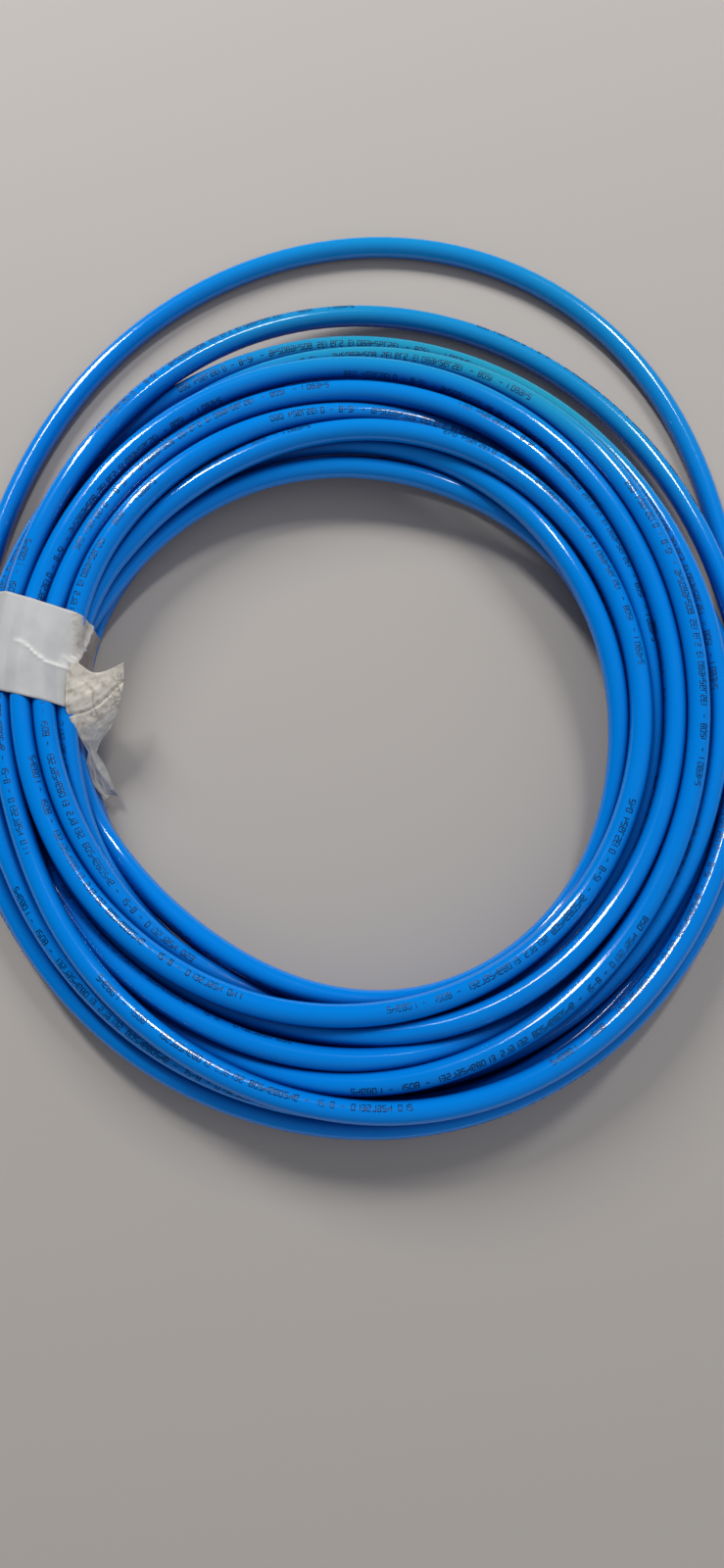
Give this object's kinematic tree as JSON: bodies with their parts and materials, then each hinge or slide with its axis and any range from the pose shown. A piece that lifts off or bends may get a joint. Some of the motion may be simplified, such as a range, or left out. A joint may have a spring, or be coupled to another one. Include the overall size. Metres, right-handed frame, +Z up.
{
  "type": "polyurethane tubing coil",
  "caption": "Flat round coil of glossy polyurethane tube with an open bore, bound by a band of paper tape, its loose outer turns bulging out on one side.",
  "frame": {"origin": "on the coil's axis, at the level of the floor it lies on", "axes": "+Z up along the coil's axis, +Y towards the side where the loose outer turns bulge out, the tape band near -X"},
  "size_m": [0.4359, 0.5186, 0.0434],
  "materials": {
    "tube": "smooth extruded blue polyurethane, glossy",
    "tape": "white paper tape, creased and torn at one end"
  },
  "bodies": {
    "root": {"tubing_coil": "tube", "tape_band": "tape"}
  },
  "joints": []
}
